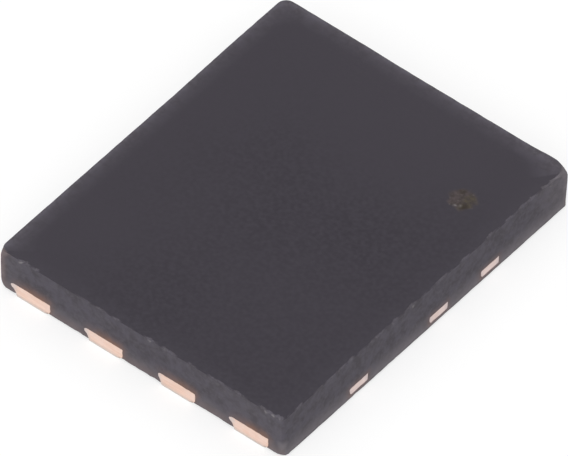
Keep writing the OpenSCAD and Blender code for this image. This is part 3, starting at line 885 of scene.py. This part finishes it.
def make_cap(name, outline, spine_half, spine_z, seed, axis, side, at, base_z, finish, smear):
    """One cap, on the side of the block that runs along an axis, 0 or 1, and lies towards plus or
    minus the other. Where the axis runs to the left as seen from outside, the faces are turned.
    Smear gives how far from the middle the dragged metal starts and is full."""
    local = cap_points(outline, spine_half, spine_z, seed)
    along, face, up = np.eye(3)[axis], side * np.eye(3)[1 - axis], np.eye(3)[2]
    middle = at * along + HALF[1 - axis] * face
    points = middle + local[..., :1] * along + local[..., 2:] * face + (local[..., 1:2] + base_z) * up
    count, turn = len(outline), 1 if np.dot(np.cross(along, up), face) > 0 else -1
    faces = bands(len(local), count, turn=turn)
    faces += [lid(0, count, -turn), lid((len(local) - 1) * count, count, turn)]
    reach = np.abs(local[..., 0]) if axis == 1 else -local[..., 0]
    smeared = smooth_step(reach + 0.02 * rough(local + seed, 0.05, 95), *smear)
    make_piece(name, points.reshape(-1, 3), faces, finish, "frame_copper", sharp=40, smeared=smeared)


# %% [markdown]
# ## Copper and tin
#
# A freshly sawn copper end is a pale pinkish metal, drawn out in fine level scratches. Tin from
# the land is dragged up over its lowest part, so the foot and the hook look silvery. Etched
# copper elsewhere is a little redder and duller. Metals show the white tent, so their colour is
# about the colour that the photograph shows.

# %% Copper finishes


def sawn_metal(name, dark, light, blotched, foot, dragged):
    """Metal fresh from the saw: level streaks between two colours, pale blotches, a foot that tin
    was dragged over, and smeared ends that are nearly white."""
    finish = new_finish(name, metallic=1.0, roughness=0.42)
    streaks = grain(finish, 0.12, 0.3, 0.7, detail=3, stretch=(3, 3, 0.16))
    colour = mixed(streaks, paint(*dark), paint(*light))
    blotch = grain(finish, 0.12, 0.42, 0.68, shift=2.0)
    colour = mixed(product(blotch, 0.5), colour, paint(*blotched))
    wavy_height = sum_of("ADD", place_in_mm(finish, "Z"), spanned(streaks, 0, 1, -0.012, 0.012))
    colour = mixed(spanned(wavy_height, 0.035, 0.075, 0.8, 0.0), colour, paint(*foot))
    colour = mixed(product(carried(finish, "smeared"), 0.8), colour, paint(*dragged))
    sheen = spanned(streaks, 0, 1, 0.36, 0.5)
    coat(finish, {"Base Color": colour, "Roughness": sheen, "Normal": bumped(streaks, 0.8)})
    return finish


cut_copper = sawn_metal(
    "sawn_copper", (233, 198, 180), (243, 218, 204), (240, 219, 210), foot=(212, 195, 187), dragged=(216, 204, 201)
)
cut_tie_copper = sawn_metal(
    "sawn_tie_copper", (214, 191, 184), (231, 213, 208), (228, 214, 211), foot=(206, 186, 180), dragged=(208, 193, 191)
)


def metal(name, dark, light, size, roughness, depth, stretch=(1, 1, 1)):
    """A metal whose colour, roughness and relief all follow one grain."""
    finish = new_finish(name, metallic=1.0, roughness=sum(roughness) / 2)
    spots = grain(finish, size, 0.3, 0.7, detail=3.0, stretch=stretch)
    clouds = grain(finish, size * 9, 0.3, 0.7, shift=4.0)
    share = sum_of("ADD", product(spots, 0.6), product(clouds, 0.4))
    colour = mixed(share, paint(*dark), paint(*light))
    sheen = spanned(share, 0, 1, *roughness)
    coat(finish, {"Base Color": colour, "Roughness": sheen, "Normal": bumped(spots, depth)})
    return finish


etched_copper = metal("etched_copper", (205, 160, 134), (232, 196, 174), 0.04, (0.42, 0.55), 1.2)
stamped_copper = metal("stamped_copper", (188, 128, 92), (222, 164, 126), 0.05, (0.28, 0.42), 0.8, (1, 6, 1))
plated_tin = metal("matte_tin", (186, 184, 180), (214, 212, 208), 0.012, (0.45, 0.6), 1.0)
dull_solder = metal("dull_solder", (128, 130, 134), (158, 160, 164), 0.03, (0.4, 0.55), 1.5)
thin_aluminium = metal("die_metal", (206, 202, 190), (226, 222, 212), 0.01, (0.3, 0.42), 0.4)
drawn_wire = metal("bond_wire", (206, 166, 74), (232, 196, 104), 0.02, (0.22, 0.32), 0.3)

# %% [markdown]
# A polished wafer looks like dark grey glass with a cool tint. A faint level grain stands for its
# rougher, sawn flanks.

# %% Silicon
wafer = new_finish("silicon", metallic=0.35, roughness=0.2)
saw_lines = grain(wafer, 0.05, 0.3, 0.7, stretch=(4, 4, 0.2))
polished = mixed(grain(wafer, 0.3, 0.3, 0.7), paint(68, 73, 84), paint(80, 86, 96))
polished = mixed(product(saw_lines, 0.4), polished, paint(92, 96, 104))
sheen = spanned(saw_lines, 0, 1, 0.16, 0.3)
coat(wafer, {"Base Color": polished, "Roughness": sheen, "Normal": bumped(saw_lines, 0.4)})

# %% Make the cut ends
NOSE_SHARES = [1.1, 0.85, 0.6, 1.0]
LEAD_NAMES = {-1: ["source_1", "source_2", "source_3", "gate_low"], 1: ["drain_1", "drain_2", "drain_3", "gate_high"]}
for side, names in LEAD_NAMES.items():
    for k, (name, lead, share) in enumerate(zip(names, LEAD_X, NOSE_SHARES[::-side])):
        make_cap(
            "cut_end_" + name, with_nose(lead_outline, share), spine_half=0.2, spine_z=0.1, seed=4 * (side + 1) + k,
            axis=0, side=side, at=lead, base_z=FRAME_Z, finish=cut_copper, smear=(0.24, 0.33),
        )
for side, word in ((1, "right"), (-1, "left")):
    for k, (name, tie) in enumerate(zip(["phase_a", "phase_b", "drain"], TIE_Y)):
        make_cap(
            f"cut_tie_{name}_{word}", tie_outline, spine_half=0.12, spine_z=0.06, seed=20 + 4 * side + k,
            axis=1, side=side, at=tie, base_z=FRAME_Z + ETCHED, finish=cut_tie_copper, smear=(0.11, 0.17),
        )

# %% [markdown]
# ## Tinned lands and pads
#
# What is soldered to a board is copper under a thin coat of matte tin. Plating rounds every edge
# and covers the low copper wall down to the epoxy. Each land is therefore a flat cushion with a
# soft rim, a hair wider than its copper, and its sawn end stays bare. On its +X side a lead is
# rounded below, so the tin flares out there as it climbs.

# %% Cushions of tin
WALL_TOP, WRAP, TIN_STEP = 0.032, 0.0025, 0.03


def rounded(corners):
    """A closed outline from square corners in turn, each rounded by its own radius."""
    spots = np.array([c[:2] for c in corners], float)
    pieces = []
    for k, (_, _, radius) in enumerate(corners):
        back, on = spots[k - 1] - spots[k], spots[(k + 1) % len(spots)] - spots[k]
        back, on = back / np.linalg.norm(back), on / np.linalg.norm(on)
        middle = spots[k] + radius * (back + on)
        start = np.arctan2(*(-on)[::-1])
        swing = -np.pi / 2 if np.cross(back, on) > 0 else np.pi / 2
        t = start + np.linspace(0, swing, 8)
        pieces.append(middle + radius * np.column_stack([np.cos(t), np.sin(t)]))
    return np.concatenate(pieces)


CUSHION_HEIGHTS = np.array([WALL_TOP, 0.024, 0.0175, 0.0055, 0.0022, 0.0006, 0.0, 0.0])
CUSHION_INSETS = np.array([0, 0, 0, 0, 0.0012, 0.004, 0.0065, 0.0145]) - WRAP
CUSHION_FLARE = np.array([0.052, 0.039, 0.024, 0.006, 0.004, 0.002, 0.0, 0.0])
FINGER_Y, FLARE_FROM, FLARE_FULL = 2.15, 2.17, 2.21


def make_cushion(name, outlines, replaces, seed):
    """Tin over lands of the given outlines: rings from the hidden top edge down the wall and round
    the lower edge, closed by one flat face on either side. Points move square to the chord
    between their neighbours, and further in the flare, where a short side's lead faces +X."""
    points, faces = [], []
    for outline in outlines:
        line = spaced(outline, TIN_STEP)
        chord = np.roll(line, -1, 0) - np.roll(line, 1, 0)
        out = np.column_stack([chord[:, 1], -chord[:, 0]]) / np.linalg.norm(chord, axis=1)[:, None]
        flared = smooth_step(out[:, 0], 0.6, 1.0) * smooth_step(np.abs(line[:, 1]), FLARE_FROM, FLARE_FULL)
        rings = line - (CUSHION_INSETS[:, None] - CUSHION_FLARE[:, None] * flared)[..., None] * out
        heights = np.broadcast_to(CUSHION_HEIGHTS[:, None, None], (*rings.shape[:2], 1))
        block = np.concatenate([rings, heights], -1)
        block[1:7, :, :2] += out * (0.0008 * rough(block[1:7], 0.05, seed))[..., None]
        first, count = sum(len(p) for p in points), len(line)
        points.append(block.reshape(-1, 3))
        faces += bands(len(block), count, first, turn=-1)
        faces += [lid(first, count), lid(first + (len(block) - 1) * count, count, turn=-1)]
    make_piece(name, np.concatenate(points), faces, plated_tin, "matte_tin", replaces=replaces, sharp=50)


CUT_R, INNER_R, LAND_L = 0.015, 0.04, 0.6


def land(lead, side):
    """Outline of one land: round where it ends under the part, square at the saw cut."""
    y0, y1 = sorted((side * HALF[1], side * (HALF[1] - LAND_L)))
    r0, r1 = (CUT_R, INNER_R)[::-side]
    left, right = lead + LAND_LEFT, lead + LAND_RIGHT
    return rounded([(left, y0, r0), (right, y0, r0), (right, y1, r1), (left, y1, r1)])


make_cushion("tin_on_source_lands", [land(lead, -1) for lead in LEAD_X[:3]], ["tin_source"], 101)
make_cushion("tin_on_low_gate_land", [land(LEAD_X[3], -1)], ["tin_gate_low"], 102)
make_cushion("tin_on_high_gate_land", [land(LEAD_X[3], 1)], ["tin_gate_high"], 103)

PAD_R, NOTCH_R, ROOT_R = 0.1, 0.03, 0.02
(pad_x0, pad_y0, _), (pad_x1, pad_y1, _) = (np.array(c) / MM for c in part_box("tin_phase"))
phase_corners = [(x, y, PAD_R) for x, y in ((pad_x0, pad_y0), (pad_x1, pad_y0), (pad_x1, pad_y1), (pad_x0, pad_y1))]
make_cushion("tin_on_phase_pad", [rounded(phase_corners)], ["tin_phase"], 104)

DRAIN_Y, NOTCH_X, NOTCH_Y = 1.18, 1.125, 1.78
drain_corners = [(pad_x0, DRAIN_Y, PAD_R), (pad_x1, DRAIN_Y, PAD_R), (pad_x1, NOTCH_Y, PAD_R)]
drain_corners += [(NOTCH_X, NOTCH_Y, NOTCH_R), (NOTCH_X, FINGER_Y, PAD_R)]
for lead in LEAD_X[2::-1]:
    right, left = lead + LAND_RIGHT, lead + LAND_LEFT
    drain_corners += [(right, FINGER_Y, ROOT_R), (right, HALF[1], CUT_R)]
    drain_corners += [(left, HALF[1], CUT_R), (left, FINGER_Y, ROOT_R)]
drain_corners.pop()
make_cushion("tin_on_drain_pad", [rounded(drain_corners)], ["tin_drain"], 105)

# %% [markdown]
# ## Finishes for the pieces that the CAD model has right
#
# The copper frame, the dies with their metal, the solder, the clips and the bond wires are sealed
# in the epoxy or show only as a thin wall under it. Their CAD shapes stay, each with a finish.

# %% Finish the CAD nodes


def both_of(*parts):
    """The names of parts that the high and the low side both have."""
    return [f"{part}_{side}" for part in parts for side in ("high", "low")]


NODE_FINISHES = {
    etched_copper: both_of("gate_lead") + ["drain_paddle", "phase_paddle", "source_lead"],
    plated_tin: both_of("tin_gate") + ["tin_drain", "tin_phase", "tin_source"],
    dull_solder: both_of("die_solder", "clip_solder", "foot_solder"),
    wafer: both_of("die"),
    thin_aluminium: both_of("source_metal", "gate_pad"),
    stamped_copper: both_of("source_clip"),
    drawn_wire: both_of("gate_wire"),
    compound: ["mould_body"],
}
for finish, names in NODE_FINISHES.items():
    for name in names:
        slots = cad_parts[name].data.materials
        slots.clear()
        slots.append(finish)
print("finished nodes", sum(len(names) for names in NODE_FINISHES.values()), "of", len(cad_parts))
